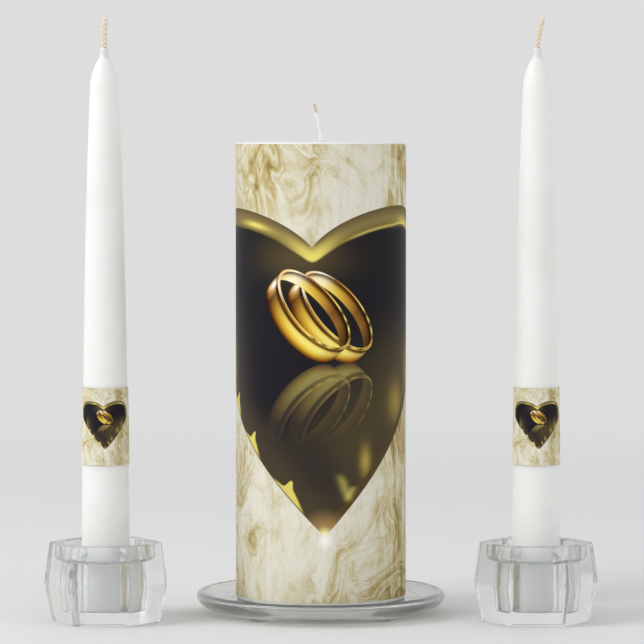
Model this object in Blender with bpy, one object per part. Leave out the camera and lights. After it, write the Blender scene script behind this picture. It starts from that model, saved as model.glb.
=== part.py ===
"""Unity candle set: a pillar on a footed glass plate, and two tapers in six-sided glass holders.

Metres, +Z up. The origin is on the table, under the pillar's axis. The set's front faces -Y.
The pillar lifts off the plate, each taper lifts out of its socket, and each holder stands free.
"""

from math import cos, pi, radians, sin, sqrt

import bmesh
import bpy
from mathutils import Matrix, Vector

MM = 0.001
GAP = 0.3 * MM  # clearance kept between neighbouring pieces

# Pillar, nominal 3 x 8 in
PILLAR_RADIUS = 38.1 * MM  # over the printed wrap
PILLAR_HEIGHT = 203.2 * MM
PILLAR_EDGE = 0.9 * MM  # rounding of the top and bottom edges
WRAP_THICKNESS = 0.3 * MM
WRAP_TOP_MARGIN = 0.9 * MM
WRAP_BOTTOM_MARGIN = 1.6 * MM

# Wicks and the tab that anchors the pillar's wick
PILLAR_WICK_RADIUS = 0.9 * MM
PILLAR_WICK_SHOWS = 17.0 * MM
PILLAR_WICK_LEAN = (-3.0 * MM, 0.2 * MM)
TAPER_WICK_RADIUS = 1.3 * MM
TAPER_WICK_SHOWS = 13.8 * MM
LEFT_WICK_LEAN = (0.4 * MM, 0.0)
RIGHT_WICK_LEAN = (2.6 * MM, 0.0)
TAB_RADIUS = 12.5 * MM
TAB_THICKNESS = 0.5 * MM
TAB_NECK_OUTER = 1.9 * MM
TAB_NECK_HEIGHT = 8.0 * MM

# Glass plate with a raised rim, on four clear bumpers
BUMPER_HEIGHT = 1.2 * MM
BUMPER_RADIUS = 4.0 * MM
BUMPER_CIRCLE = 38.5 * MM
PLATE_UNDERSIDE = BUMPER_HEIGHT + GAP
PLATE_WELL = 7.0 * MM  # height of the flat that the pillar stands on
PLATE_WELL_RADIUS = 43.5 * MM
PLATE_STEP = 0.5 * MM  # raised edge round the well
PLATE_RIM_RADIUS = 55.5 * MM
PLATE_RIM_TOP = 10.2 * MM
PLATE_RIM_ROUND = 1.9 * MM
PLATE_FOOT_RADIUS = 43.0 * MM

# Tapers, nominal 7/8 x 10 in
TAPER_BASE_RADIUS = 10.9 * MM
TAPER_SHOULDER_RADIUS = 6.3 * MM
TAPER_STRAIGHT = 228.5 * MM  # from the foot to the shoulder
TAPER_DOME = 12.2 * MM  # rounded stretch above the shoulder
TAPER_COLLAR = 4.5 * MM  # wax that runs up the wick
TAPER_CHAMFER = 0.8 * MM
BAND_HEIGHT = 33.8 * MM
BAND_BOTTOM = 63.1 * MM  # above the taper's foot
BAND_THICKNESS = 0.3 * MM

# Six-sided glass taper holders
HOLDER_SPREAD = 94.6 * MM  # from the pillar's axis to each taper's axis
HOLDER_FORWARD = 28.0 * MM
HOLDER_YAW = {"left": -4.0, "right": 0.0}  # degrees, how each one happens to stand
HOLDER_HEIGHT = 35.0 * MM
HOLDER_BELT_HEIGHT = 17.0 * MM
HOLDER_FOOT_CORNER = 23.9 * MM
HOLDER_BELT_CORNER = 27.5 * MM
HOLDER_TOP_CORNER = 25.0 * MM
SOCKET_FLOOR = 6.0 * MM
SOCKET_RADIUS = 11.35 * MM
CUP_FLOOR = 26.5 * MM
CUP_RADIUS = 17.6 * MM

ROUND_STEPS = 64
SMALL_STEPS = 24

PILLAR_FOOT = PLATE_WELL + GAP
PILLAR_TOP = PILLAR_FOOT + PILLAR_HEIGHT
WAX_RADIUS = PILLAR_RADIUS - WRAP_THICKNESS - GAP
TAPER_FOOT = SOCKET_FLOOR + GAP
TAPER_LENGTH = TAPER_STRAIGHT + TAPER_DOME + TAPER_COLLAR

WAX_WHITE = (0.86, 0.85, 0.81)
WICK_COTTON = (0.82, 0.74, 0.62)
CLEAR_GLASS = (0.86, 0.92, 0.91)
CLEAR_VINYL = (0.80, 0.84, 0.83)
TIN_PLATE = (0.62, 0.62, 0.60)
PRINTED_FILM = (0.55, 0.46, 0.22)


def clear_scene():
    for obj in list(bpy.data.objects):
        bpy.data.objects.remove(obj)


def make_material(name, colour, roughness, metallic=0.0):
    material = bpy.data.materials.new(name)
    material.use_nodes = True
    shader = material.node_tree.nodes["Principled BSDF"]
    shader.inputs["Base Color"].default_value = (*colour, 1.0)
    shader.inputs["Roughness"].default_value = roughness
    shader.inputs["Metallic"].default_value = metallic
    return material


def link_object(name, data, material, location=(0.0, 0.0, 0.0)):
    obj = bpy.data.objects.new(name, data)
    obj.location = location
    data.materials.append(material)
    bpy.context.scene.collection.objects.link(obj)
    return obj


def mesh_from(bm, name, smooth=True):
    bmesh.ops.remove_doubles(bm, verts=bm.verts, dist=1e-7)
    bmesh.ops.recalc_face_normals(bm, faces=bm.faces)
    mesh = bpy.data.meshes.new(name)
    bm.to_mesh(mesh)
    bm.free()
    if smooth:
        mesh.shade_smooth()
        mesh.set_sharp_from_angle(angle=radians(35))
    return mesh


def turned_mesh(name, outline, steps, closed):
    """Turns an outline of (radius, height) points round Z. An open outline starts and ends on the axis."""
    bm = bmesh.new()
    verts = [bm.verts.new((radius, 0.0, height)) for radius, height in outline]
    pairs = list(zip(verts, verts[1:]))
    if closed:
        pairs.append((verts[-1], verts[0]))
    edges = [bm.edges.new(pair) for pair in pairs]
    bmesh.ops.spin(
        bm,
        geom=verts + edges,
        cent=(0.0, 0.0, 0.0),
        axis=(0.0, 0.0, 1.0),
        angle=2 * pi,
        steps=steps,
        use_merge=True,
    )
    return mesh_from(bm, name)


def arc(centre, radius, start, end, steps):
    """Points on a circle in the (radius, height) plane, from angle start to end in degrees."""
    angles = [radians(start + (end - start) * i / steps) for i in range(steps + 1)]
    return [(centre[0] + radius * cos(a), centre[1] + radius * sin(a)) for a in angles]


def ring_outline(inner, outer, bottom, top):
    return [(inner, bottom), (outer, bottom), (outer, top), (inner, top)]


def make_plate(glass):
    """The dish: a flat well with a low step round it, a gentle slope, a round rim and a bowed side."""
    widest = PLATE_RIM_TOP - PLATE_RIM_ROUND
    side_width = PLATE_RIM_RADIUS - PLATE_FOOT_RADIUS
    side_height = widest - PLATE_UNDERSIDE
    side_steps = 7
    outline = [(0.0, PLATE_UNDERSIDE)]
    for i in range(side_steps):
        turn = radians(90 * i / side_steps)
        radius = PLATE_FOOT_RADIUS + side_width * sin(turn)
        outline.append((radius, widest - side_height * cos(turn)))
    outline += arc((PLATE_RIM_RADIUS - PLATE_RIM_ROUND, widest), PLATE_RIM_ROUND, 0, 150, 8)
    step_radius = PLATE_WELL_RADIUS + PLATE_STEP
    outline += [(step_radius, PLATE_WELL + PLATE_STEP), (PLATE_WELL_RADIUS, PLATE_WELL)]
    outline += [(0.0, PLATE_WELL)]
    return link_object("plate", turned_mesh("plate", outline, ROUND_STEPS, False), glass)


def make_bumpers(vinyl):
    """Four stick-on feet under the plate: flat below, rounded at the sides."""
    edge = BUMPER_HEIGHT * 0.6
    side = (BUMPER_RADIUS - edge, edge)
    outline = [(0.0, 0.0)] + arc(side, edge, -90, 0, 4)
    outline += [(BUMPER_RADIUS, BUMPER_HEIGHT), (0.0, BUMPER_HEIGHT)]
    mesh = turned_mesh("bumper", outline, SMALL_STEPS, False)
    places = {"front_right": -45, "back_right": 45, "back_left": 135, "front_left": 225}
    for place, degrees in places.items():
        x = BUMPER_CIRCLE * cos(radians(degrees))
        y = BUMPER_CIRCLE * sin(radians(degrees))
        link_object("bumper_" + place, mesh, vinyl, (x, y, 0.0))


def make_pillar_wax(wax):
    """A straight pillar with a hole for its wick, and a pocket underneath for the wick tab."""
    edge = PILLAR_EDGE
    hole = PILLAR_WICK_RADIUS + GAP
    pocket = TAB_RADIUS + 2 * GAP
    pocket_top = PILLAR_FOOT + TAB_THICKNESS + 3 * GAP
    neck = TAB_NECK_OUTER + GAP
    neck_top = pocket_top + TAB_NECK_HEIGHT
    outline = [(hole, PILLAR_TOP), (hole, neck_top), (neck, neck_top), (neck, pocket_top)]
    outline += [(pocket, pocket_top), (pocket, PILLAR_FOOT)]
    outline += arc((WAX_RADIUS - edge, PILLAR_FOOT + edge), edge, -90, 0, 4)
    outline += arc((WAX_RADIUS - edge, PILLAR_TOP - edge), edge, 0, 90, 4)
    mesh = turned_mesh("pillar_wax", outline, ROUND_STEPS, True)
    return link_object("pillar_wax", mesh, wax)


def make_wick_tab(tin):
    """A stamped disc with a neck that is crimped round the wick's foot."""
    bottom = PILLAR_FOOT + GAP
    bore = PILLAR_WICK_RADIUS + GAP
    top = bottom + TAB_THICKNESS
    outline = [(bore, bottom), (TAB_RADIUS, bottom), (TAB_RADIUS, top), (TAB_NECK_OUTER, top)]
    outline += [(TAB_NECK_OUTER, top + TAB_NECK_HEIGHT), (bore, top + TAB_NECK_HEIGHT)]
    return link_object("wick_tab", turned_mesh("wick_tab", outline, SMALL_STEPS, True), tin)


def make_pillar_wrap(film):
    """The printed film, one turn round the pillar, from just above its foot to just under its top."""
    bottom = PILLAR_FOOT + WRAP_BOTTOM_MARGIN
    top = PILLAR_TOP - WRAP_TOP_MARGIN
    outline = ring_outline(PILLAR_RADIUS - WRAP_THICKNESS, PILLAR_RADIUS, bottom, top)
    mesh = turned_mesh("pillar_wrap", outline, ROUND_STEPS, True)
    return link_object("pillar_wrap", mesh, film)


def make_wick(name, axis, foot, emerges, shows, lean, radius, cotton):
    """A wick that runs straight up its candle, then leans a little where it stands free."""
    free_steps = 6
    points = [(0.0, 0.0, foot)]
    for i in range(free_steps + 1):
        share = i / free_steps
        bend = share * share * (1.5 - 0.5 * share)
        points.append((lean[0] * bend, lean[1] * bend, emerges + shows * share))
    curve = bpy.data.curves.new(name, "CURVE")
    curve.dimensions = "3D"
    curve.bevel_depth = radius
    curve.bevel_resolution = 2
    curve.use_fill_caps = True
    spline = curve.splines.new("POLY")
    spline.points.add(len(points) - 1)
    for point, place in zip(spline.points, points):
        point.co = (*place, 1.0)
    return link_object(name, curve, cotton, (axis[0], axis[1], 0.0))


def taper_radius(height):
    """Radius of a taper at a height above its foot: it narrows evenly, and faster near the shoulder."""
    share = min(height / TAPER_STRAIGHT, 1.0)
    narrowing = 0.6 * share + 0.4 * share**4
    return TAPER_BASE_RADIUS + (TAPER_SHOULDER_RADIUS - TAPER_BASE_RADIUS) * narrowing


def taper_outline():
    """Side of a taper, from the foot's chamfer up to the collar of wax at the wick."""
    body_steps, dome_steps = 16, 9
    hole = TAPER_WICK_RADIUS + GAP
    collar = hole + 0.35 * MM
    points = [(TAPER_BASE_RADIUS - TAPER_CHAMFER, 0.0)]
    for i in range(body_steps + 1):
        height = TAPER_CHAMFER + (TAPER_STRAIGHT - TAPER_CHAMFER) * i / body_steps
        points.append((taper_radius(height), height))
    for i in range(1, dome_steps + 1):
        share = sin(radians(90 * i / dome_steps))
        radius = collar + (TAPER_SHOULDER_RADIUS - collar) * sqrt(1.0 - share**2)
        points.append((radius, TAPER_STRAIGHT + TAPER_DOME * share))
    points += [(collar, TAPER_LENGTH), (hole, TAPER_LENGTH), (hole, 0.0)]
    return [(radius, height + TAPER_FOOT) for radius, height in points]


def make_taper_wax(side, x, wax):
    name = side + "_taper_wax"
    mesh = turned_mesh(name, taper_outline(), 48, True)
    return link_object(name, mesh, wax, (x, -HOLDER_FORWARD, 0.0))


def make_taper_band(side, x, film):
    """The printed band, a cone that follows the taper's side."""
    low, high = BAND_BOTTOM, BAND_BOTTOM + BAND_HEIGHT
    inner_low, inner_high = taper_radius(low) + GAP, taper_radius(high) + GAP
    outline = [
        (inner_low, low + TAPER_FOOT),
        (inner_low + BAND_THICKNESS, low + TAPER_FOOT),
        (inner_high + BAND_THICKNESS, high + TAPER_FOOT),
        (inner_high, high + TAPER_FOOT),
    ]
    name = side + "_taper_band"
    return link_object(name, turned_mesh(name, outline, 48, True), film, (x, -HOLDER_FORWARD, 0.0))


def make_socket_cutter():
    """The round drip cup and the socket under it, as one solid that reaches above the holder."""
    fillet = 1.6 * MM
    over = HOLDER_HEIGHT + 2.0 * MM
    outline = [(0.0, over), (CUP_RADIUS + 0.6 * MM, over)]
    outline += [(CUP_RADIUS + 0.6 * MM, HOLDER_HEIGHT - 0.6 * MM), (CUP_RADIUS, HOLDER_HEIGHT - 1.2 * MM)]
    outline += arc((CUP_RADIUS - fillet, CUP_FLOOR + fillet), fillet, 0, -90, 3)
    outline += [(SOCKET_RADIUS + 0.5 * MM, CUP_FLOOR), (SOCKET_RADIUS, CUP_FLOOR - 0.5 * MM)]
    outline += [(SOCKET_RADIUS, SOCKET_FLOOR), (0.0, SOCKET_FLOOR)]
    cutter = bpy.data.objects.new("socket_cutter", turned_mesh("socket_cutter", outline, 48, False))
    cutter.hide_render = True
    cutter.display_type = "WIRE"
    bpy.context.scene.collection.objects.link(cutter)
    return cutter


def make_holder(side, x, glass):
    """A solid block with six sides that widen to a belt and narrow again, bored for the taper."""
    bm = bmesh.new()
    turn = Matrix.Rotation(radians(90), 4, "Z")
    bmesh.ops.create_circle(bm, cap_ends=True, segments=6, radius=HOLDER_FOOT_CORNER, matrix=turn)
    levels = [(HOLDER_FOOT_CORNER, 0.0), (HOLDER_BELT_CORNER, HOLDER_BELT_HEIGHT)]
    levels.append((HOLDER_TOP_CORNER, HOLDER_HEIGHT))
    face = bm.faces[:][0]
    for (old_corner, old_z), (corner, z) in zip(levels, levels[1:]):
        made = bmesh.ops.extrude_face_region(bm, geom=[face])["geom"]
        ring = [v for v in made if isinstance(v, bmesh.types.BMVert)]
        bmesh.ops.translate(bm, verts=ring, vec=Vector((0.0, 0.0, z - old_z)))
        share = corner / old_corner
        bmesh.ops.scale(bm, verts=ring, vec=Vector((share, share, 1.0)))
        below = face
        face = next(f for f in made if isinstance(f, bmesh.types.BMFace))
        if old_z > 0.0:
            bmesh.ops.delete(bm, geom=[below], context="FACES_ONLY")
    name = side + "_holder"
    holder = link_object(name, mesh_from(bm, name, smooth=False), glass, (x, -HOLDER_FORWARD, 0.0))
    holder.rotation_euler.z = radians(HOLDER_YAW[side])
    cutter = make_socket_cutter()
    cutter.name = side + "_socket_cutter"
    cutter.location = holder.location
    cut = holder.modifiers.new("socket", "BOOLEAN")
    cut.object = cutter
    cut.operation = "DIFFERENCE"
    return holder


def main():
    clear_scene()
    wax = make_material("wax", WAX_WHITE, 0.45)
    cotton = make_material("wick_cotton", WICK_COTTON, 0.8)
    glass = make_material("clear_glass", CLEAR_GLASS, 0.05)
    vinyl = make_material("clear_vinyl", CLEAR_VINYL, 0.3)
    tin = make_material("tin_plate", TIN_PLATE, 0.35, metallic=1.0)
    film = make_material("printed_film", PRINTED_FILM, 0.3)
    make_plate(glass)
    make_bumpers(vinyl)
    make_pillar_wax(wax)
    make_wick_tab(tin)
    make_pillar_wrap(film)
    wick_foot = PILLAR_FOOT + GAP
    make_wick("pillar_wick", (0.0, 0.0), wick_foot, PILLAR_TOP, PILLAR_WICK_SHOWS,
              PILLAR_WICK_LEAN, PILLAR_WICK_RADIUS, cotton)
    for side, x, lean in (("left", -HOLDER_SPREAD, LEFT_WICK_LEAN), ("right", HOLDER_SPREAD, RIGHT_WICK_LEAN)):
        make_holder(side, x, glass)
        make_taper_wax(side, x, wax)
        make_taper_band(side, x, film)
        make_wick(side + "_taper_wick", (x, -HOLDER_FORWARD), TAPER_FOOT, TAPER_FOOT + TAPER_LENGTH,
                  TAPER_WICK_SHOWS, lean, TAPER_WICK_RADIUS, cotton)


main()
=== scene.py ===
from math import cos, pi, radians, sin

import bmesh
import bpy
from mathutils import Matrix, Vector


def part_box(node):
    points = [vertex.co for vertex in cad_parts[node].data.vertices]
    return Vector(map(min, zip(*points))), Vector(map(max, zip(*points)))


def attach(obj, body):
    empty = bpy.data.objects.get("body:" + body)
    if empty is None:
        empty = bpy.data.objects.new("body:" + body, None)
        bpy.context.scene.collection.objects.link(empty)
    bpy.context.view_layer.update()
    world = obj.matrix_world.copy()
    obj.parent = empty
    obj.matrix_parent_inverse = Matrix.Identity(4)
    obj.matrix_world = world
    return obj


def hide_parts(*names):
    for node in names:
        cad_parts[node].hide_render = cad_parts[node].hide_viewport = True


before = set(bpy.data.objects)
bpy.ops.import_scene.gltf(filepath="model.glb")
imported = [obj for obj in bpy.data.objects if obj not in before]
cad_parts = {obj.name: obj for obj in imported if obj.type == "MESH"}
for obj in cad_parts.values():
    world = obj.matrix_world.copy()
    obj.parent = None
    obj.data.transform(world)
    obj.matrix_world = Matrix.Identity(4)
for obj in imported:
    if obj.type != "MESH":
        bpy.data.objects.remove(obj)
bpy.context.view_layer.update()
mm = 0.001
print("Frame loaded:", len(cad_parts), "nodes")


class Wire:
    # one output socket; arithmetic on it adds Math nodes to the same material
    def __init__(self, tree, socket=None):
        self.tree = tree
        self.socket = socket

    def node(self, kind, settings, values, output=0):
        made = self.tree.nodes.new(kind)
        stops = settings.pop("stops", None)
        for name, value in settings.items():
            setattr(made, name, value)
        if stops:
            ramp = made.color_ramp
            while len(ramp.elements) < len(stops):
                ramp.elements.new(0.5)
            for element, (place, colour) in zip(ramp.elements, stops):
                element.position = place
                element.color = colour if len(colour) == 4 else (*colour, 1.0)
        for key, value in values.items():
            if isinstance(value, Wire):
                self.tree.links.new(value.socket, made.inputs[key])
            else:
                made.inputs[key].default_value = value
        return Wire(self.tree, made.outputs[output])

    def maths(self, operation, *others):
        return self.node("ShaderNodeMath", {"operation": operation}, dict(enumerate([self, *others])))

    def reflected(self, operation, first):
        return self.node("ShaderNodeMath", {"operation": operation}, {0: first, 1: self})

    def __add__(self, other):
        return self.maths("ADD", other)

    def __radd__(self, other):
        return self.reflected("ADD", other)

    def __sub__(self, other):
        return self.maths("SUBTRACT", other)

    def __rsub__(self, other):
        return self.reflected("SUBTRACT", other)

    def __mul__(self, other):
        return self.maths("MULTIPLY", other)

    def __rmul__(self, other):
        return self.reflected("MULTIPLY", other)

    def __truediv__(self, other):
        return self.maths("DIVIDE", other)

    def __rtruediv__(self, other):
        return self.reflected("DIVIDE", other)

    def __pow__(self, other):
        return self.maths("POWER", other)

    def least(self, other):
        return self.maths("MINIMUM", other)

    def most(self, other):
        return self.maths("MAXIMUM", other)

    def size(self):
        return self.maths("ABSOLUTE")

    def root(self):
        return self.maths("SQRT")

    def rise(self, low, high):
        # 0 below low, 1 above high, smooth between; low may be the larger
        settings = {"interpolation_type": "SMOOTHSTEP"}
        return self.node("ShaderNodeMapRange", settings, {0: self, 1: low, 2: high, 3: 0.0, 4: 1.0})

    def hump(self, centre, width):
        # a soft bump of height 1
        offset = (self - centre) / width
        return (offset * offset * -1.0).maths("EXPONENT")

    def ramp(self, stops):
        return self.node("ShaderNodeValToRGB", {"stops": stops}, {0: self})

    def blend(self, first, second):
        # self is how much of the second colour shows over the first
        settings = {"data_type": "RGBA", "clamp_factor": True}
        return self.node("ShaderNodeMix", settings, {0: self, 6: first, 7: second}, 2)

    def tinted(self, other):
        settings = {"data_type": "RGBA", "blend_type": "MULTIPLY"}
        return self.node("ShaderNodeMix", settings, {0: 1.0, 6: self, 7: other}, 2)

    def split(self):
        found = self.node("ShaderNodeSeparateXYZ", {}, {0: self})
        return [Wire(self.tree, socket) for socket in found.socket.node.outputs]

    def noise(self, scale, detail=2.0, roughness=0.5, distortion=0.0, output=0):
        values = {"Vector": self, "Scale": scale, "Detail": detail}
        values.update({"Roughness": roughness, "Distortion": distortion})
        return self.node("ShaderNodeTexNoise", {}, values, output)


def srgb(red, green, blue):
    # a colour from 0 to 255 as it looks on a screen, in linear light
    def linear(value):
        share = value / 255
        return share / 12.92 if share <= 0.04045 else ((share + 0.055) / 1.055) ** 2.4

    return (linear(red), linear(green), linear(blue), 1.0)


def newMaterial(name, centre=(0.0, 0.0, 0.0), **sockets):
    # sets up a Principled material and gives it back with its object coordinates, measured from a centre
    material = bpy.data.materials.new(name)
    material.use_nodes = True
    tree = material.node_tree
    shader = tree.nodes["Principled BSDF"]
    for key, value in sockets.items():
        shader.inputs[key.replace("_", " ")].default_value = value
    start = Wire(tree)
    place = start.node("ShaderNodeTexCoord", {}, {}, 3)
    place = start.node("ShaderNodeMapping", {}, {0: place, 1: tuple(-c for c in centre)})
    return material, shader, place


def plug(wire, shader, key):
    wire.tree.links.new(wire.socket, shader.inputs[key])


def bump(height, shader, strength, distance):
    values = {"Height": height, "Strength": strength, "Distance": distance}
    plug(height.node("ShaderNodeBump", {}, values), shader, "Normal")


# Sizes in mm on the pillar: across from the middle of its front, and up from the table.
heart = {
    "notch": (-3.9, 165.3),
    "tip": (1.7, 38.0),
    "shoulder": 150.0,  # height where the lobes are widest
    "halfWidth": 93.0,
    "lobeMiddle": 46.0,
    "lobeInner": 51.7,  # half widths of a lobe, towards the notch and away from it
    "lobeOuter": 37.0,
    "lobeHeight": 32.0,
    "lobeMean": 44.0,  # a round half width, for the distance to the edge
    "skew": 0.015,  # how much higher the right lobe stands, for each mm across
    "sideBow": 0.9,  # 1 makes the lower sides straight, less bows them out
    "sideSlope": 0.65,  # turns a height above a lower side into a distance from it
    "bevel": 8.8,
    "drop": 8.4,  # height of the bevel at the notch
    "lights": [  # soft lights inside: across, up, their widths, and how strong
        (40.0, 96.0, 5.5, 8.0, 0.6),
        (55.0, 106.0, 5.0, 14.0, 0.6),
        (-57.0, 106.0, 5.0, 18.0, 0.4),
        (20.5, 71.0, 2.6, 6.0, 0.85),
    ],
    "flames": [(86.0, 99.5, 5.0), (69.0, 84.0, 4.6), (44.5, 65.0, 4.8)],  # foot, top and width of each
}
ringShape = {
    "nearRim": (-3.2, 137.5),
    "lean": 47.8,  # degrees below level, of the long way across
    "long": 22.0,
    "short": 9.8,
    "wall": 1.25,
    "wallShare": 0.55,  # the wall looks thinner across the short way
    "outerDepth": 8.2,
    "innerDepth": 5.4,
    "secondRing": (11.1, -0.6),
    "mirrorHeight": 114.1,
}
inkViolet = srgb(30, 28, 34)
inkOlive = srgb(88, 76, 48)
inkBrown = srgb(74, 64, 48)
inkYellow = srgb(240, 222, 112)
paper = {
    "drift": (0.9, 0.9, 1.1),  # how far the veins wander
    "stretch": (1.0, 1.0, 0.55),  # less than 1 draws the veins out along that axis
    "streakStretch": (1.0, 1.0, 0.12),
    "bands": 78.0,  # how closely the broad veins follow each other
    "threads": 210.0,  # and the thin ones
    "colours": [(0.0, srgb(232, 229, 215)), (0.2, srgb(216, 209, 181)), (0.45, srgb(200, 185, 136)),
                (0.75, srgb(180, 160, 102)), (1.0, srgb(152, 132, 80))],
}


def marble(flat, u, v):
    # cream and ochre marbled paper: contour lines of a slow noise make the flowing veins
    drift = flat.noise(1.1, 2.0, 0.55, 0.0, 1)
    shifted = {"operation": "MULTIPLY_ADD"}
    warped = flat.node("ShaderNodeVectorMath", shifted, {0: drift, 1: paper["drift"], 2: flat})
    times = {"operation": "MULTIPLY"}
    drawn = warped.node("ShaderNodeVectorMath", times, {0: warped, 1: paper["stretch"]})
    slow = drawn.noise(2.3, 3.0, 0.5, 0.4)
    fine = drawn.noise(16.0, 6.0, 0.7, 0.5)
    wide = drawn.noise(2.6, 3.0, 0.55, 0.8)
    grain = flat.noise(60.0, 4.0, 0.75)
    upright = flat.node("ShaderNodeVectorMath", times, {0: flat, 1: paper["streakStretch"]})
    streaks = upright.noise(34.0, 4.0, 0.7, 0.2)
    bands = (slow * paper["bands"] + fine * 4.0).maths("SINE") * 0.5 + 0.5
    threads = (slow * paper["threads"] + fine * 7.0).maths("SINE") * 0.5 + 0.5
    side = (u - 46.0).hump(0.0, 13.0) * streaks.rise(0.35, 0.62)
    top = v.rise(172.0, 192.0) * u.rise(10.0, -12.0) * 0.3
    ochre = (wide.rise(0.4, 0.66) * 0.85 + top + side * 0.5).least(1.0)
    vein = ochre * (bands.rise(0.5, 0.96) * 0.36 + threads.rise(0.55, 1.0) * 0.34 + 0.13)
    vein = vein + fine.rise(0.44, 0.66) * (ochre * 0.27 + 0.12) + side * 0.36
    vein = vein + grain.rise(0.5, 0.72) * 0.12 + streaks.rise(0.5, 0.75) * 0.12
    return vein.ramp(paper["colours"])


def heartDepth(u, v):
    # how far a point is inside the heart's outline, in mm, and how far across it is
    notchU, notchV = heart["notch"]
    tipU, tipV = heart["tip"]
    slant = (tipU - notchU) / (notchV - tipV)
    across = u - notchU - (notchV - v) * slant
    side = across.size()
    beyond = side - heart["lobeMiddle"]
    x = beyond.most(0.0) / heart["lobeOuter"] + beyond.least(0.0) / heart["lobeInner"]
    y = (v - heart["shoulder"] - across * heart["skew"]).most(0.0) / heart["lobeHeight"]
    slope = ((x / heart["lobeMean"]) ** 2.0 + (y / heart["lobeHeight"]) ** 2.0).root() * 2.0 + 0.0001
    upper = (1.0 - (x * x + y * y)) / slope
    inner = (1.0 - side / heart["halfWidth"]).most(0.0)
    floor = heart["shoulder"] - (heart["shoulder"] - tipV) * inner ** heart["sideBow"]
    lower = (v - floor) * heart["sideSlope"]
    # how far below the top edge, as a share of the bevel; the bevel turns round the notch in a soft bend
    soft = (across * across + 7.0).root()
    bend = (soft - heart["lobeMiddle"]).least(0.0) / heart["lobeInner"]
    edge = (1.0 - bend * bend).root() * heart["lobeHeight"] + heart["shoulder"] + across * heart["skew"]
    outside = beyond.rise(-6.0, 6.0)
    share = (edge - v) / heart["drop"] * (1.0 - outside) + upper / heart["bevel"] * outside
    return upper.least(lower), lower, across, share


def flame(depth, v, low, high, wide):
    # a lick of light that hugs the heart's lower edge between two heights, with a horn above its middle
    along = (high - v + depth * 0.8) / (high - low)
    start = along.rise(0.0, 0.3) * along.rise(0.36, 0.34) * 0.3
    body = along.rise(0.32, 0.36) * along.rise(1.0, 0.36) * 0.85
    horn = along.hump(0.38, 0.06) * 0.45
    reach = (start + body + horn) * wide
    inside = (depth - reach).rise(0.5, -0.5) * along.rise(0.0, 0.06)
    return inside * depth.rise(0.1, 0.8) * along.rise(1.0, 0.6)


def heartColour(u, v, depth, lower, across, share):
    # the dark polished inside, its bevelled edge and the lights on it
    glow = (u + 9.0).hump(0.0, 19.0) * v.hump(160.0, 9.0)
    corner = (u * 0.75 - (v - 100.0) * 0.62).rise(-12.0, 34.0) * v.rise(150.0, 112.0) * 0.85
    lowEdge = lower.rise(22.0, 2.0) * v.rise(116.0, 82.0) * 0.9
    colour = glow.most(corner).blend(inkViolet, inkOlive)
    colour = lowEdge.blend(colour, inkBrown)
    colour = ((u + 50.0).hump(0.0, 12.0) * v.rise(150.0, 110.0) * 0.3).blend(colour, srgb(92, 84, 70))
    shade = (u + 12.0 - (90.0 - v) * 0.5).hump(0.0, 12.0) * v.hump(66.0, 16.0) * 0.8
    colour = shade.blend(colour, srgb(48, 42, 43))
    lights = 0.0
    for lightU, lightV, wideU, wideV, strength in heart["lights"]:
        lights = u.hump(lightU, wideU) * v.hump(lightV, wideV) * strength + lights
    colour = lights.least(1.0).blend(colour, srgb(190, 165, 74))
    rightEdge = lower.rise(3.4, 2.2) * across.rise(-1.0, 1.0) * v.rise(108.0, 96.0)
    colour = (rightEdge * 0.9).blend(colour, srgb(88, 70, 38))
    spur = (u - 8.3 - (66.0 - v) * 0.34).hump(0.0, 2.0) * v.rise(52.0, 58.0) * v.rise(67.0, 62.0)
    spur = spur + (u - 12.2 - (v - 55.0) * 0.5).hump(0.0, 1.7) * v.rise(52.5, 56.0) * v.rise(61.0, 58.5)
    licks = 0.0
    for foot, top, wide in heart["flames"]:
        licks = flame(lower, v, foot, top, wide) + licks
    licks = licks * across.rise(1.0, -1.0) + spur * 0.4
    colour = (licks.least(1.0) * 0.88).blend(colour, inkYellow)
    top = v.rise(118.0, 146.0)
    bevel = share.rise(1.05, 0.95) * top
    tone = share.ramp([(0.0, srgb(84, 70, 40)), (0.1, srgb(112, 94, 58)), (0.55, srgb(140, 123, 76)),
                       (0.85, srgb(128, 114, 60)), (1.0, srgb(104, 92, 48))])
    colour = bevel.blend(colour, tone)
    notchLight = across.hump(0.0, 9.5) * share.rise(0.1, 0.8) * share.rise(1.16, 0.98)
    streak = (across + 28.0).hump(0.0, 8.0) * (depth + across * 0.07).hump(3.8, 1.5)
    line = (share - 1.0).hump(0.0, 0.07) * across.rise(10.0, 24.0) * 0.6
    farLight = across.hump(54.0, 8.0) * share.hump(0.85, 0.28) * 0.7
    shine = (notchLight + streak + line + farLight).least(1.0) * top
    colour = shine.blend(colour, inkYellow)
    tipU, tipV = heart["tip"]
    away = ((u - tipU) ** 2.0 + (v - tipV) ** 2.0).root()
    colour = (away.rise(14.0, 2.0) * 0.8).blend(colour, srgb(190, 154, 92))
    return away.rise(5.5, 1.0).blend(colour, srgb(250, 238, 150))


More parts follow.
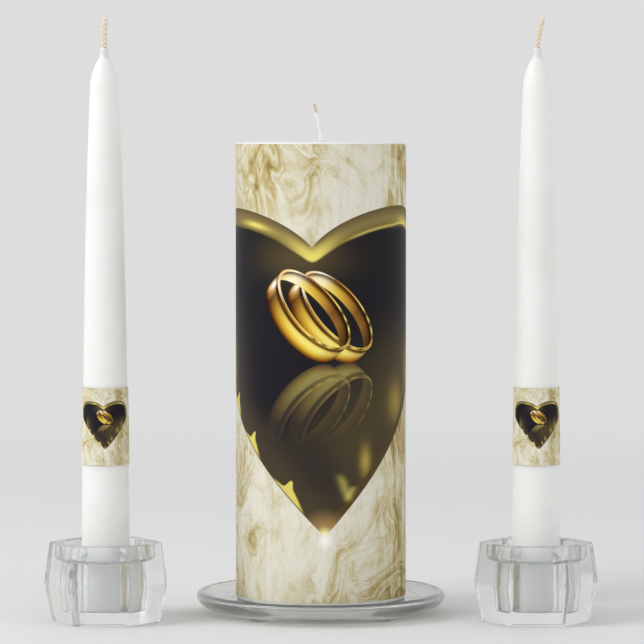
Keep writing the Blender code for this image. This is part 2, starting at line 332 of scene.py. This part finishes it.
def ring(u, v, offset):
    # one plain gold ring seen from the front right: its colour, and where it is
    nearU, nearV = ringShape["nearRim"]
    turn = radians(ringShape["lean"])
    x = u - (nearU + offset[0])
    y = v - (nearV + offset[1])
    p = x * cos(turn) - y * sin(turn)
    q = x * sin(turn) + y * cos(turn)
    longOuter, shortOuter = ringShape["long"], ringShape["short"]
    longInner = longOuter - ringShape["wall"]
    shortInner = shortOuter - ringShape["wall"] * ringShape["wallShare"]
    c = p / longOuter
    archOuter = (1.0 - c * c).most(0.0).root() * shortOuter
    cInner = p / longInner
    archInner = (1.0 - cInner * cInner).most(0.0).root() * shortInner
    high = (q + archOuter) / ringShape["outerDepth"] + 1.0  # 0 at the far rim, 1 at the near one
    deep = (archInner - q) / ringShape["innerDepth"]  # 0 at the near rim, 1 at the far one
    within = c.size().rise(1.004, 0.992)
    outline = within * high.rise(-0.02, 0.03) * (archOuter - q).rise(-0.12, 0.12)
    mouth = cInner.size().rise(1.004, 0.992) * (archInner - q).rise(-0.1, 0.1)
    mouth = mouth * (archInner + q).rise(-0.1, 0.1)
    hole = mouth * deep.rise(0.98, 1.04)
    side = c * 0.5 + 0.5
    outer = side.ramp([
        (0.0, srgb(150, 100, 44)), (0.03, srgb(250, 236, 200)), (0.06, srgb(214, 166, 88)),
        (0.12, srgb(110, 70, 30)), (0.18, srgb(150, 106, 38)), (0.28, srgb(200, 160, 54)),
        (0.42, srgb(232, 198, 70)), (0.62, srgb(250, 228, 96)), (0.84, srgb(250, 234, 112)),
        (0.94, srgb(206, 164, 60)), (1.0, srgb(116, 80, 34))])
    dome = high.ramp([(0.0, srgb(70, 42, 22)), (0.12, srgb(156, 108, 50)), (0.32, srgb(232, 212, 150)),
                      (0.58, srgb(255, 254, 240)), (0.76, srgb(252, 246, 206)), (0.84, srgb(120, 84, 44)),
                      (0.93, srgb(104, 70, 34)), (1.0, srgb(190, 150, 90))])
    outer = outer.tinted(dome)
    hot = high.hump(0.62, 0.17) * (side.hump(0.7, 0.3) * 0.75)
    outer = hot.blend(outer, srgb(252, 238, 138))
    star = high.hump(0.68, 0.22) * side.hump(0.04, 0.022)  # a glint at the top left
    outer = star.blend(outer, srgb(255, 252, 246))
    wedge = high.hump(0.86, 0.08) * side.rise(0.12, 0.2) * side.rise(0.72, 0.5)  # the dark line by the rim
    outer = wedge.blend(outer, srgb(72, 44, 18))
    inner = side.ramp([
        (0.0, srgb(130, 88, 36)), (0.05, srgb(234, 212, 130)), (0.13, srgb(255, 254, 226)),
        (0.24, srgb(250, 236, 134)), (0.36, srgb(238, 208, 92)), (0.5, srgb(206, 164, 74)),
        (0.64, srgb(140, 98, 44)), (0.78, srgb(150, 108, 52)), (0.9, srgb(104, 72, 34)),
        (1.0, srgb(84, 56, 26))])
    bore = deep.ramp([(0.0, srgb(58, 36, 18)), (0.2, srgb(112, 76, 42)), (0.45, srgb(230, 208, 160)),
                      (0.85, srgb(255, 248, 226)), (0.96, srgb(255, 255, 236)), (1.0, srgb(196, 166, 112))])
    inner = inner.tinted(bore)
    gleam = side.hump(0.15, 0.09) * deep.hump(0.62, 0.4)  # where light falls in at the top left
    inner = (gleam * 0.8).blend(inner, srgb(255, 250, 214))
    rim = side.ramp([
        (0.0, srgb(240, 190, 110)), (0.1, srgb(255, 246, 220)), (0.25, srgb(150, 102, 42)),
        (0.5, srgb(214, 168, 72)), (0.66, srgb(248, 226, 120)), (0.72, srgb(60, 38, 18)),
        (0.78, srgb(250, 230, 112)), (0.83, srgb(54, 34, 18)), (0.88, srgb(248, 226, 110)),
        (0.94, srgb(90, 60, 28)), (1.0, srgb(236, 190, 84))])
    onRim = within * (archOuter - q).rise(-0.1, 0.1) * (archOuter + q).rise(-0.1, 0.1) * (1.0 - mouth)
    thread = mouth * (archInner + q).rise(0.55, 0.2)  # the bright line along the mouth's near edge
    colour = onRim.blend(outer, rim)
    colour = mouth.blend(colour, inner)
    colour = thread.blend(colour, srgb(248, 218, 120))
    return colour, (outline * (1.0 - hole * (1.0 - thread))).least(1.0)


def printPicture(flat, u, v):
    # the whole picture: marbled ground, heart, two rings and their reflection
    ground = marble(flat, u, v)
    depth, lower, across, share = heartDepth(u, v)
    body = heartColour(u, v, depth, lower, across, share)
    floor = ringShape["mirrorHeight"]
    mirrored = (v - floor).size() + floor
    below = (v - floor).rise(0.1, -0.1)
    fade = 1.0 - below + (v - floor).rise(-37.0, 2.0) * below * 0.62
    for offset in (ringShape["secondRing"], (0.0, 0.0)):
        gold, where = ring(u, mirrored, offset)
        gold = (below * 0.55).blend(gold, srgb(112, 108, 76))
        body = (where * fade).blend(body, gold)
    picture = depth.rise(-0.18, 0.18).blend(ground, body)
    tipU, tipV = heart["tip"]
    star = ((u - tipU) ** 2.0 + (v - tipV + 1.5) ** 2.0).root().rise(5.0, 0.2)
    rays = (u - tipU).hump(0.0, 0.8) * v.hump(tipV - 3.0, 5.0)
    return (star * 0.8 + rays * 0.3).least(1.0).blend(picture, srgb(255, 255, 250))


def arc(centre, radius, start, end, steps):
    # points on a circle in the (radius, height) plane, from one angle in degrees to another
    angles = [radians(start + (end - start) * i / steps) for i in range(steps + 1)]
    return [(centre[0] + radius * cos(a), centre[1] + radius * sin(a)) for a in angles]


def turned(outline, steps, closed=False):
    # spins an outline of (radius, height) points in mm round Z; an open one starts and ends on the axis
    bm = bmesh.new()
    verts = [bm.verts.new((radius * mm, 0.0, height * mm)) for radius, height in outline]
    pairs = list(zip(verts, verts[1:]))
    if closed:
        pairs.append((verts[-1], verts[0]))
    edges = [bm.edges.new(pair) for pair in pairs]
    bmesh.ops.spin(bm, geom=verts + edges, cent=(0, 0, 0), axis=(0, 0, 1), angle=2 * pi, steps=steps,
                   use_merge=True)
    bmesh.ops.remove_doubles(bm, verts=bm.verts, dist=1e-6)
    bmesh.ops.recalc_face_normals(bm, faces=bm.faces)
    return bm


def meshFrom(bm, name, sharpAngle=30):
    mesh = bpy.data.meshes.new(name)
    bm.to_mesh(mesh)
    bm.free()
    mesh.shade_smooth()
    mesh.set_sharp_from_angle(angle=radians(sharpAngle))
    return mesh


def place(mesh, material, body, slot, *nodes):
    # the piece stands for its CAD nodes, moves with their body and takes the material it is given
    piece = bpy.data.objects.new(mesh.name, mesh)
    mesh.materials.clear()
    mesh.materials.append(material)
    bpy.context.scene.collection.objects.link(piece)
    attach(piece, body)
    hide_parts(*nodes)


def baked(mesh, prepare):
    # a mesh with modifiers worked into it: prepare adds them to an object for as long as it takes
    helper = bpy.data.objects.new("helper", mesh)
    bpy.context.scene.collection.objects.link(helper)
    extra = prepare(helper)
    result = bpy.data.meshes.new_from_object(helper.evaluated_get(bpy.context.evaluated_depsgraph_get()))
    bpy.data.objects.remove(helper)
    for other in extra:
        bpy.data.objects.remove(other)
    result.name = mesh.name
    return result


def middle(node):
    low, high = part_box(node)
    return (low + high) / 2


# The plate's sizes in mm; its outer ones come from its box.
plateShape = {
    "footRadius": 43.0,  # flat underside
    "wellRadius": 43.5,
    "wellHeight": 7.0,  # above the table
    "step": 0.5,  # raised edge round the well
    "rimRound": 1.9,
    "innerRing": 20.0,  # an extra ring of points on the flats
    "sideSteps": 18,
    "steps": 160,
    "bumperSteps": 48,
}


def makePlate(material):
    low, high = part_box("plate")
    rim = high.x / mm
    bottom, top = low.z / mm, high.z / mm
    rimEdge = plateShape["rimRound"]
    widest = top - rimEdge
    foot = plateShape["footRadius"]
    inner = plateShape["innerRing"]
    outline = [(0.0, bottom), (inner, bottom), (foot - 2.0, bottom)]
    sideSteps = plateShape["sideSteps"]
    for i in range(sideSteps):
        turn = radians(90 * i / sideSteps)
        outline.append((foot + (rim - foot) * sin(turn), widest - (widest - bottom) * cos(turn)))
    outline += arc((rim - rimEdge, widest), rimEdge, 0, 150, sideSteps)
    well, floor, step = plateShape["wellRadius"], plateShape["wellHeight"], plateShape["step"]
    stepX, stepZ = well + step, floor + step
    lastX, lastZ = outline[-1]
    outline += [(lastX + (stepX - lastX) * k, lastZ + (stepZ - lastZ) * k) for k in (0.25, 0.5, 0.75, 0.94)]
    outline += [(stepX - 0.05, stepZ), (well + 0.1, floor + 0.08), (well - 0.2, floor)]
    outline += [(inner, floor), (0.0, floor)]
    mesh = meshFrom(turned(outline, plateShape["steps"]), "glassPlate", 50)
    place(mesh, material, "dish", "clear_glass", "plate")


def makeBumper(node, material):
    # a clear stick-on foot: flat where it is stuck, domed towards the table
    low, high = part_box(node)
    radius, height = (high.x - low.x) / 2 / mm, (high.z - low.z) / mm
    edge = height * 0.75
    outline = [(0.0, 0.0), (radius - edge - 1.0, 0.0)]
    outline += arc((radius - edge, edge), edge, -90, 0, 8)
    outline += [(radius, height - 0.06), (radius - 0.06, height), (0.0, height)]
    bm = turned(outline, plateShape["bumperSteps"])
    centre = middle(node)
    bmesh.ops.translate(bm, verts=bm.verts, vec=(centre.x, centre.y, low.z))
    name = "clearBumper_" + node.replace("bumper_", "")
    place(meshFrom(bm, name, 50), material, "dish", "clear_vinyl", node)


# The holders' sizes in mm, before each is turned to how it stands.
holderShape = {
    "yaw": {"left": -4.0, "right": 0.0},  # degrees, how each one happens to stand
    "footCorner": 23.9,  # from the axis to a corner, at the foot, the belt and the top
    "beltCorner": 27.5,
    "topCorner": 25.0,
    "beltHeight": 17.0,
    "edge": 0.55,  # rounding of the cut edges
    "socketFloor": 6.0,
    "socketRadius": 11.35,
    "cupFloor": 26.5,
    "cupRadius": 17.6,
    "cupLip": 0.9,
    "cupFillet": 2.2,
    "socketFillet": 0.8,
    "beyond": 2.0,  # how far the cut reaches above the holder
    "steps": 96,
}


def cupOutline(height):
    # the drip cup and the socket below it, as a solid to take away
    shape = holderShape
    cup, lip, floor = shape["cupRadius"], shape["cupLip"], shape["cupFloor"]
    socket, bottom = shape["socketRadius"], shape["socketFloor"]
    fillet, small = shape["cupFillet"], shape["socketFillet"]
    beyond = height + shape["beyond"]
    outline = [(0.0, beyond), (cup + lip + 0.02, beyond)]
    outline += arc((cup + lip, height - lip), lip, 90, 180, 8)
    outline += arc((cup - fillet, floor + fillet), fillet, 0, -90, 8)
    outline += arc((socket + small, floor - small), small, 90, 180, 6)
    outline += arc((socket - small, bottom + small), small, 0, -90, 6)
    outline.append((0.0, bottom))
    return outline


def makeHolder(side, material):
    node = side + "_holder"
    low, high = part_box(node)
    height = (high.z - low.z) / mm
    shape = holderShape
    name = side + "GlassHolder"
    bm = bmesh.new()
    turn = Matrix.Rotation(pi / 2, 4, "Z")
    bmesh.ops.create_circle(bm, cap_ends=True, segments=6, radius=shape["footCorner"] * mm, matrix=turn)
    levels = [(shape["footCorner"], 0.0), (shape["beltCorner"], shape["beltHeight"]),
              (shape["topCorner"], height)]
    face = bm.faces[:][0]
    for (oldCorner, oldHeight), (corner, newHeight) in zip(levels, levels[1:]):
        made = bmesh.ops.extrude_face_region(bm, geom=[face])["geom"]
        corners = [v for v in made if isinstance(v, bmesh.types.BMVert)]
        bmesh.ops.translate(bm, verts=corners, vec=Vector((0, 0, (newHeight - oldHeight) * mm)))
        share = corner / oldCorner
        bmesh.ops.scale(bm, verts=corners, vec=Vector((share, share, 1)))
        below, face = face, next(f for f in made if isinstance(f, bmesh.types.BMFace))
        if oldHeight > 0:
            bmesh.ops.delete(bm, geom=[below], context="FACES_ONLY")
    bmesh.ops.recalc_face_normals(bm, faces=bm.faces)
    bmesh.ops.bevel(bm, geom=bm.edges[:], offset=shape["edge"] * mm, offset_type="OFFSET", segments=4,
                    profile=0.5, affect="EDGES", material=-1)
    spin = Matrix.Rotation(radians(shape["yaw"][side]), 4, "Z")
    shift = Matrix.Translation((middle(node).x, middle(node).y, low.z))
    bmesh.ops.transform(bm, matrix=shift @ spin, verts=bm.verts)
    cup = turned(cupOutline(height), shape["steps"])
    bmesh.ops.transform(cup, matrix=shift, verts=cup.verts)
    cutter = bpy.data.objects.new("cutter", meshFrom(cup, "cutter", 40))
    bpy.context.scene.collection.objects.link(cutter)

    def prepare(helper):
        cut = helper.modifiers.new("cup", "BOOLEAN")
        cut.object = cutter
        cut.operation = "DIFFERENCE"
        even = helper.modifiers.new("even", "WEIGHTED_NORMAL")
        even.keep_sharp = True
        even.weight = 100
        return [cutter]

    mesh = baked(meshFrom(bm, name, 35), prepare)
    place(mesh, material, side + "_stand", "clear_glass", node)


# The pillar candle's sizes in mm.
pillarShape = {
    "snug": 0.22,  # the film hugs the wax, so the wax comes this much further out
    "edge": 1.1,  # rounding of the wax's top and bottom edges
    "dish": 0.55,  # how far the top dips towards the wick
    "wickHole": 1.0,
    "neckHole": 2.2,  # the wider hole for the tab's neck
    "neckRise": 9.4,
    "pocketRise": 1.4,  # the hollow under the foot for the tab
    "pocketRadius": 13.1,
    "steps": 128,
    "tabThickness": 0.34,
    "tabSteps": 48,
    "filmThickness": 0.13,
    "filmOverlap": 7.0,  # degrees, at the back
    "filmSteps": 192,
    "filmRows": 12,
}


def makePillarWax(material):
    low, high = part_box("pillar_wax")
    wax = high.x / mm + pillarShape["snug"]
    bottom, top = low.z / mm, high.z / mm
    edge = pillarShape["edge"]
    hole, neckHole = pillarShape["wickHole"], pillarShape["neckHole"]
    neck, hollow = bottom + pillarShape["neckRise"], bottom + pillarShape["pocketRise"]
    pocket = pillarShape["pocketRadius"]
    outline = [(hole, top - 0.25), (hole, neck + 2.6), (neckHole, neck), (neckHole, hollow)]
    outline += [(pocket, hollow), (pocket, bottom)]
    outline += [(20.0, bottom)] + arc((wax - edge, bottom + edge), edge, -90, 0, 7)
    outline += [(wax, bottom + (top - bottom) * k) for k in (0.25, 0.5, 0.75)]
    outline += arc((wax - edge, top - edge), edge, 0, 90, 7)
    # the top dips a little towards the wick, then climbs it
    dish = pillarShape["dish"]
    outline += [(wax * k, top - dish * (1 - k) ** 1.5) for k in (0.85, 0.7, 0.55, 0.4, 0.25, 0.15, 0.1)]
    outline += [(2.6, top - 0.5), (1.9, top - 0.42), (1.5, top - 0.3), (1.25, top - 0.1)]
    outline.append((1.12, top - 0.02))
    mesh = meshFrom(turned(outline, pillarShape["steps"], True), "pillarWax", 40)
    place(mesh, material, "pillar", "wax", "pillar_wax")


def makeWickTab(material):
    # a stamped tin disc with two pressed rings and a crimped neck
    low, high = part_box("wick_tab")
    radius = high.x / mm
    bottom, top = low.z / mm, high.z / mm
    thick = pillarShape["tabThickness"]
    upper = [(radius - 0.2, 0.0), (10.2, 0.0), (9.6, 0.15), (9.0, 0.0), (6.4, 0.0), (5.8, 0.15), (5.2, 0.0)]
    outline = [(r, bottom + h) for r, h in reversed(upper)] + [(radius, bottom + thick / 2)]
    outline += [(r, bottom + h + thick) for r, h in upper]
    outline += [(2.6, bottom + thick), (1.95, bottom + thick + 0.5), (1.85, top - 3.0), (1.6, top - 2.4)]
    outline += [(1.6, top - 1.2), (1.8, top - 0.6), (1.8, top), (1.25, top), (1.25, bottom)]
    mesh = meshFrom(turned(outline, pillarShape["tabSteps"], True), "wickTab", 50)
    place(mesh, material, "pillar", "tin_plate", "wick_tab")


def film(name, centre, levels, thickness, overlap, steps):
    # one turn of printed film; levels are (height, outer radius) in mm, and its end laps over its start
    bm = bmesh.new()
    rows = len(levels) - 1
    bmesh.ops.create_grid(bm, x_segments=steps, y_segments=rows, size=0.5)
    lap = radians(overlap)
    for vert in bm.verts:
        height, outer = levels[round((vert.co.y + 0.5) * rows)]
        turn = vert.co.x * (2 * pi + lap)
        lift = min(max((turn - pi + lap) / lap, 0.0), 1.0)
        radius = outer - thickness * (1.2 - 1.2 * lift * lift * (3 - 2 * lift))
        vert.co = ((centre.x / mm + radius * sin(turn)) * mm, (centre.y / mm - radius * cos(turn)) * mm,
                   height * mm)
    bmesh.ops.recalc_face_normals(bm, faces=bm.faces)
    first = bm.faces[:][0]
    if first.normal.dot(first.calc_center_median() - Vector((centre.x, centre.y, 0))) < 0:
        bmesh.ops.reverse_faces(bm, faces=bm.faces)
    bmesh.ops.solidify(bm, geom=bm.faces, thickness=thickness * mm)
    return meshFrom(bm, name, 40)


def makeWrap(material):
    low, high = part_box("pillar_wrap")
    radius = high.x / mm
    rows = pillarShape["filmRows"]
    levels = [(low.z / mm + (high.z - low.z) / mm * k / rows, radius) for k in range(rows + 1)]
    thickness, overlap = pillarShape["filmThickness"], pillarShape["filmOverlap"]
    mesh = film("pillarWrap", middle("pillar_wrap"), levels, thickness, overlap, pillarShape["filmSteps"])
    place(mesh, material, "pillar", "printed_film", "pillar_wrap")


# Each wick's plait in mm, how far its tip leans and how much of it stands free. The colour turns to the cut
# end's between the two depths below the tip.
wickShape = {
    "pillar": {"wide": 0.5, "deep": 0.27, "strand": 0.38, "pitch": 4.6, "lean": (-3.0, 0.2), "shows": 17.0,
               "turns": (4.6, 3.4), "colours": (srgb(248, 246, 241), srgb(212, 200, 186))},
    "left": {"wide": 0.62, "deep": 0.34, "strand": 0.62, "pitch": 6.2, "lean": (0.4, 0.0), "shows": 13.8,
             "turns": (3.0, 1.4), "colours": (srgb(236, 220, 200), srgb(240, 228, 222))},
}
wickShape["right"] = dict(wickShape["left"], lean=(2.6, 0.0))


def makeWick(name, node, centre, material, kind, body):
    # three strands plaited flat, stiff with wax, that lean over where they stand free
    shape = wickShape[kind]
    low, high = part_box(node)
    foot, tip = low.z / mm, high.z / mm - 0.3  # a leaning strand's cut end reaches above its centre line
    free = tip - shape["shows"]
    curve = bpy.data.curves.new(name, "CURVE")
    curve.dimensions = "3D"
    curve.bevel_depth = shape["strand"] * mm
    curve.bevel_resolution = 2
    curve.use_fill_caps = True
    count = int((tip - foot) / shape["pitch"] * 12)  # 12 points to each turn of the plait
    for strand in range(3):
        spline = curve.splines.new("POLY")
        spline.points.add(count)
        for i, point in enumerate(spline.points):
            height = foot + (tip - foot) * i / count
            share = max(height - free, 0.0) / shape["shows"]
            bend = share * share * (1.5 - 0.5 * share)
            phase = 2 * pi * (height / shape["pitch"] + strand / 3)
            snug = 1.0 - 0.25 * max(share - 0.8, 0.0) / 0.2  # pinched at the cut end
            x = shape["lean"][0] * bend + shape["wide"] * snug * sin(phase)
            y = shape["lean"][1] * bend + shape["deep"] * snug * sin(2 * phase)
            point.co = (centre.x + x * mm, centre.y + y * mm, height * mm, 1.0)
            point.radius = snug
    helper = bpy.data.objects.new("helper", curve)
    mesh = bpy.data.meshes.new_from_object(helper)
    bpy.data.objects.remove(helper)
    mesh.name = name
    mesh.shade_smooth()
    mesh.set_sharp_from_angle(angle=radians(50))
    place(mesh, material, body, "wick_cotton", node)


# The tapers' sizes in mm.
taperShape = {
    "shoulder": 6.3,  # radius where the dome starts
    "straight": 228.5,  # from the foot up to the shoulder
    "dome": 12.2,
    "chamfer": 0.8,
    "wickHole": 1.32,
    "flare": 0.6,  # where the dome turns into the neck of wax
    "filmThickness": 0.13,
    "filmOverlap": 18.0,
    "filmSteps": 128,
    "filmRows": 8,
    "picture": {"size": 0.148, "tipHeight": 76.3, "shift": -2.3},  # size as a share of the pillar's
    "rows": 40,
    "domeRows": 18,
    "steps": 96,
}


def taperRadius(base, height):
    # it narrows evenly, and faster near the shoulder
    share = min(height / taperShape["straight"], 1.0)
    return base + (taperShape["shoulder"] - base) * (0.6 * share + 0.4 * share**4)


def makeTaperWax(side, material):
    node = side + "_taper_wax"
    low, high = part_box(node)
    base = (high.x - low.x) / 2 / mm
    length = (high.z - low.z) / mm
    shape = taperShape
    hole, straight = shape["wickHole"], shape["straight"]
    collar = hole + 0.4
    outline = [(hole, 0.0), (base - shape["chamfer"] - 1.0, 0.0)]
    outline += arc((base - shape["chamfer"], shape["chamfer"]), shape["chamfer"], -90, 0, 5)
    rows, domeRows = shape["rows"], shape["domeRows"]
    for i in range(1, rows + 1):
        height = shape["chamfer"] + (straight - shape["chamfer"]) * i / rows
        outline.append((taperRadius(base, height), height))
    neck = collar + shape["flare"]
    for i in range(1, domeRows + 1):
        share = sin(radians(90 * i / (domeRows + 1)))
        radius = neck + (shape["shoulder"] - neck) * (1 - share**1.6)**0.85
        outline.append((radius, straight + shape["dome"] * share))
    # wax runs up the wick and thins out
    rest = length - straight - shape["dome"]
    for k in (0.0, 0.08, 0.18, 0.3, 0.45, 0.7, 0.95):
        outline.append((collar + shape["flare"] * (1 - k)**3, straight + shape["dome"] + rest * k))
    outline += [(collar - 0.15, length), (hole, length)]
    bm = turned(outline, shape["steps"], True)
    centre = middle(node)
    bmesh.ops.translate(bm, verts=bm.verts, vec=(centre.x, centre.y, low.z))
    mesh = meshFrom(bm, side + "TaperWax", 45)
    place(mesh, material, side + "_taper", "wax", node)


def makeBand(side, material):
    node = side + "_taper_band"
    low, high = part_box(node)
    waxLow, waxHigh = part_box(side + "_taper_wax")
    foot = waxLow.z / mm
    base = (waxHigh.x - waxLow.x) / 2 / mm
    stand = (high.x - low.x) / 2 / mm - taperRadius(base, low.z / mm - foot)
    rows = taperShape["filmRows"]
    levels = []
    for k in range(rows + 1):
        height = (low.z + (high.z - low.z) * k / rows) / mm
        levels.append((height, taperRadius(base, height - foot) + stand))
    thickness, overlap = taperShape["filmThickness"], taperShape["filmOverlap"]
    mesh = film(side + "TaperBand", middle(node), levels, thickness, overlap, taperShape["filmSteps"])
    place(mesh, material, side + "_taper", "printed_film", node)


def waxFinish():
    material, shader, spot = newMaterial("wax", Roughness=0.42, Subsurface_Weight=0.35, IOR=1.44,
                                         Subsurface_Scale=0.004, Subsurface_Radius=(1.0, 0.9, 0.8))
    cloud = spot.noise(38.0, 3.0, 0.55)
    plug(cloud.rise(0.3, 0.7).blend(srgb(238, 238, 235), srgb(243, 243, 241)), shader, "Base Color")
    pits = spot.noise(900.0, 2.0, 0.5)
    plug(cloud * 0.16 + 0.36, shader, "Roughness")
    bump(cloud + pits * 0.12, shader, 0.3, 0.0004)
    return material


def cottonFinish(name, node, centre, kind):
    # waxed cotton; its cut end shows another colour
    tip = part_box(node)[1].z / mm
    low, high = [tip - depth for depth in wickShape[kind]["turns"]]
    material, shader, spot = newMaterial(name, centre, Roughness=0.7)
    fibre = spot.noise(2600.0, 3.0, 0.6)
    height = spot.split()[2] / mm
    shade = height.rise(low, high).blend(*wickShape[kind]["colours"])
    plug((fibre.rise(0.3, 0.75) * 0.18).blend(shade, srgb(214, 196, 172)), shader, "Base Color")
    bump(fibre, shader, 0.5, 0.0001)
    return material


def glassFinish(name, tint, wave):
    # clear cast glass; the alpha lets some light straight through, as thin clear glass does
    material, shader, spot = newMaterial(name, Base_Color=tint, Transmission_Weight=0.95, IOR=1.49,
                                         Alpha=0.9)
    smear = spot.noise(60.0, 3.0, 0.6)
    plug(smear.rise(0.45, 0.8) * 0.03, shader, "Roughness")
    bump(spot.noise(55.0, 1.0, 0.4), shader, wave, 0.001)
    return material


def vinylFinish():
    material, shader, spot = newMaterial("clearVinyl", Base_Color=(0.95, 0.96, 0.96, 1.0),
                                         Transmission_Weight=0.8, IOR=1.46)
    plug(spot.noise(500.0, 2.0, 0.6) * 0.1 + 0.05, shader, "Roughness")
    return material


def tinFinish():
    material, shader, spot = newMaterial("tinPlate", Metallic=1.0)
    spangle = spot.noise(420.0, 3.0, 0.6)
    plug(spangle.blend(srgb(176, 176, 172), srgb(205, 206, 204)), shader, "Base Color")
    plug(spangle * 0.25 + 0.25, shader, "Roughness")
    return material


def filmFinish(name, centre, size, tipHeight, shift):
    # the printed film: the picture wraps round the candle at the size that the candle needs
    material, shader, spot = newMaterial(name, centre, IOR=1.47, Specular_IOR_Level=0.1)
    x, y, z = spot.split()
    radius = (x * x + y * y).root()
    turn = x.maths("ARCTAN2", y * -1.0)
    u = turn * radius / (mm * size) + shift
    v = (z / mm - tipHeight) / size + heart["tip"][1]
    flat = spot.node("ShaderNodeVectorMath", {"operation": "SCALE"}, {0: spot, "Scale": 10.0 / size})
    plug(printPicture(flat, u, v), shader, "Base Color")
    grain = spot.noise(300.0, 3.0, 0.5)
    plug(grain * 0.12 + 0.42, shader, "Roughness")
    bump(spot.noise(26.0, 2.0, 0.5), shader, 0.1, 0.0006)
    return material


studio = {
    "horizon": 0.723,
    "zenith": 0.64,
    "floorShade": 0.81,
    "floorGap": 0.05,  # mm below what stands on it
    "fadeFrom": 0.35,  # metres from the middle, where the floor starts and ends turning clear
    "fadeTo": 1.2,
    "lights": {  # place in metres, size, watts
        "key": ((-1.4, -0.7, 1.15), 1.0, 16.0),
        "fill": ((1.5, -0.7, 0.9), 0.9, 3.4),
    },
    "aim": (0.0, 0.0, 0.08),
    "camera": {"place": (0.0005, -1.6, 0.2097), "down": 2.84, "lens": 200.7},  # metres, degrees, mm
}


def makeWorld():
    world = bpy.data.worlds.new("studio")
    bpy.context.scene.world = world
    world.use_nodes = True
    tree = world.node_tree
    start = Wire(tree)
    rise = start.node("ShaderNodeTexCoord", {}, {}, 0).split()[2]
    shade = rise.rise(0.03, 0.95).blend((studio["horizon"],) * 3 + (1,), (studio["zenith"],) * 3 + (1,))
    tree.links.new(shade.socket, tree.nodes["Background"].inputs["Color"])


def makeFloor():
    bm = bmesh.new()
    bmesh.ops.create_circle(bm, cap_ends=True, segments=96, radius=studio["fadeTo"])
    bmesh.ops.translate(bm, verts=bm.verts, vec=(0, 0, -studio["floorGap"] * mm))
    mesh = meshFrom(bm, "floor")
    shade = studio["floorShade"]
    grey = (shade * 0.994, shade * 0.997, shade, 1.0)
    material, shader, spot = newMaterial("floorPaper", Base_Color=grey, Roughness=0.9,
                                         Specular_IOR_Level=0.1)
    x, y, z = spot.split()
    away = (x * x + y * y).root()
    plug(away.rise(studio["fadeTo"], studio["fadeFrom"]), shader, "Alpha")
    mesh.materials.append(material)
    floor = bpy.data.objects.new("floor", mesh)
    bpy.context.scene.collection.objects.link(floor)


def makeLights():
    for name, (spot, size, watts) in studio["lights"].items():
        light = bpy.data.lights.new(name, "AREA")
        light.shape = "SQUARE"
        light.size = size
        light.energy = watts
        lamp = bpy.data.objects.new(name, light)
        lamp.location = spot
        lamp.rotation_euler = (Vector(studio["aim"]) - Vector(spot)).to_track_quat("-Z", "Y").to_euler()
        bpy.context.scene.collection.objects.link(lamp)


def makeCamera():
    shape = studio["camera"]
    camera = bpy.data.cameras.new("camera")
    camera.lens = shape["lens"]
    camera.sensor_width = 36.0
    camera.clip_start = 0.05
    viewer = bpy.data.objects.new("camera", camera)
    viewer.location = shape["place"]
    viewer.rotation_euler = (radians(90 - shape["down"]), 0.0, 0.0)
    bpy.context.scene.collection.objects.link(viewer)
    bpy.context.scene.camera = viewer


def buildScene():
    makeCamera()
    makeWorld()
    makeFloor()
    makeLights()
    bpy.context.scene.view_settings.view_transform = "Standard"
    print("Stage, lights and camera are in place")
    plateGlass = glassFinish("plateGlass", (0.982, 0.995, 0.972, 1.0), 0.12)
    holderGlass = glassFinish("holderGlass", (0.96, 0.978, 0.986, 1.0), 0.01)
    vinyl = vinylFinish()
    wax = waxFinish()
    makePlate(plateGlass)
    for node in [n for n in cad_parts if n.startswith("bumper_")]:
        makeBumper(node, vinyl)
    print("Plate and bumpers made")
    makePillarWax(wax)
    makeWickTab(tinFinish())
    makeWrap(filmFinish("pillarFilm", (0.0, 0.0, 0.0), 1.0, heart["tip"][1], 0.0))
    cotton = cottonFinish("pillarCotton", "pillar_wick", (0.0, 0.0, 0.0), "pillar")
    makeWick("pillarWick", "pillar_wick", Vector((0, 0, 0)), cotton, "pillar", "pillar")
    print("Pillar candle made")
    for side in ("left", "right"):
        makeHolder(side, holderGlass)
        makeTaperWax(side, wax)
        centre = middle(side + "_taper_wax")
        axis = (centre.x, centre.y, 0.0)
        makeBand(side, filmFinish(side + "BandFilm", axis, **taperShape["picture"]))
        wick = side + "_taper_wick"
        cotton = cottonFinish(side + "TaperCotton", wick, axis, side)
        makeWick(side + "TaperWick", wick, centre, cotton, side, side + "_taper")
        print(side.capitalize(), "taper and holder made")


buildScene()
